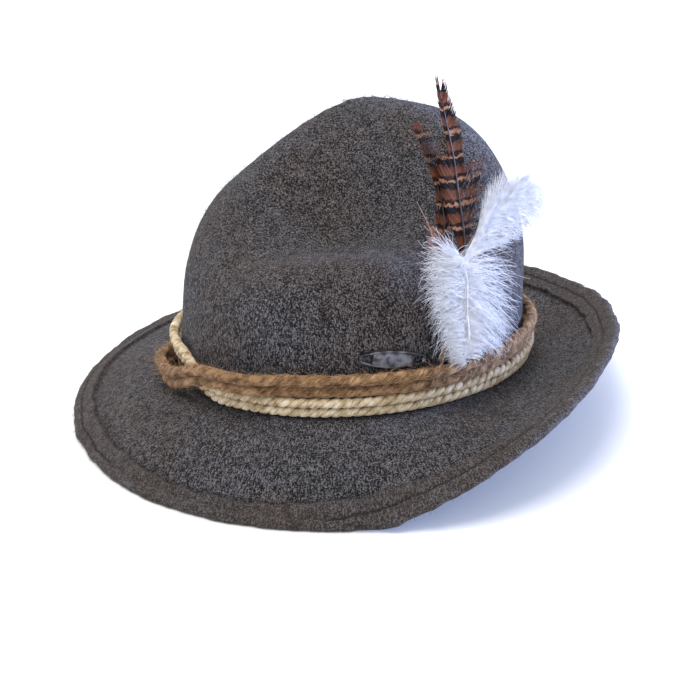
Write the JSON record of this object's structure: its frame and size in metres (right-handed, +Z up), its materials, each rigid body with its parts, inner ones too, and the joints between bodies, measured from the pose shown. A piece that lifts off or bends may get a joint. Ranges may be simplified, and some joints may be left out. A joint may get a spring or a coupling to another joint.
{
  "type": "felt hat",
  "caption": "Soft felt hat with a dented crown, a brim curled up at the wearer's left, twisted cords round the crown, a small metal plate and a bunch of feathers.",
  "frame": {"origin": "middle of the hat's outline seen from above, on the surface it rests on", "axes": "+X towards the wearer's left, +Y towards the back of the head, +Z up"},
  "size_m": [0.2822, 0.3112, 0.1904],
  "materials": {
    "felt": "grey melange wool felt",
    "jute_cord": "brown hairy twisted cord",
    "pale_cord": "pale smooth twisted cord",
    "plate_metal": "darkened pewter",
    "brown_feather": "barred brown and tan feather",
    "white_feather": "white down and barbs"
  },
  "bodies": {
    "root": {"crown": "felt", "brim": "felt", "jute_cord_upper": "jute_cord", "jute_cord_lower": "jute_cord", "pale_cord_upper": "pale_cord", "pale_cord_lower": "pale_cord", "plate": "plate_metal", "barred_feather_long": "brown_feather", "barred_feather_short": "brown_feather", "brown_feather_small": "brown_feather", "white_feather_curved": "white_feather", "white_feather_fluffy": "white_feather"}
  },
  "joints": []
}
